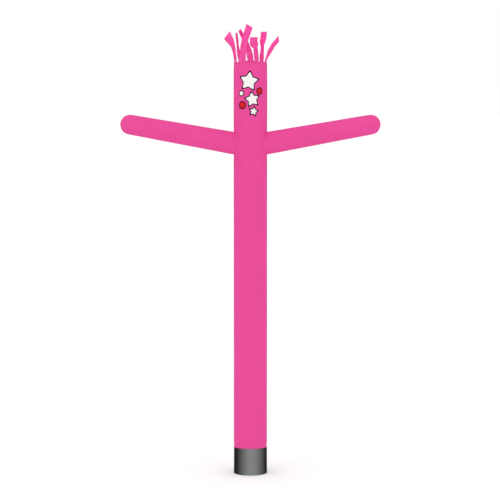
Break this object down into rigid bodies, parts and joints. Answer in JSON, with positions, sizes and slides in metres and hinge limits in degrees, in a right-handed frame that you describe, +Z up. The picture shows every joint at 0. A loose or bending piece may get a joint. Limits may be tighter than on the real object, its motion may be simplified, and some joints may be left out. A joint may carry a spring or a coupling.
{
  "type": "inflatable air dancer",
  "caption": "Tall pink cloth tube on a dark base cuff, blown up, with two round-ended arms that tilt up, a closed domed head and flat cloth ribbons for hair.",
  "frame": {"origin": "centre of the base cuff's open mouth, level with the floor", "axes": "+Z up the body tube, the face side looks towards -Y, and the arms reach out along +X and -X"},
  "size_m": [3.5414, 0.5866, 6.1503],
  "materials": {
    "pink_cloth": "thin woven nylon, soft sheen",
    "charcoal_cloth": "heavy coated nylon, broad sheen"
  },
  "bodies": {
    "root": {"body_tube": "pink_cloth", "arm_left": "pink_cloth", "arm_right": "pink_cloth", "head_cap": "pink_cloth", "hair": "pink_cloth", "base_cuff": "charcoal_cloth"}
  },
  "joints": []
}
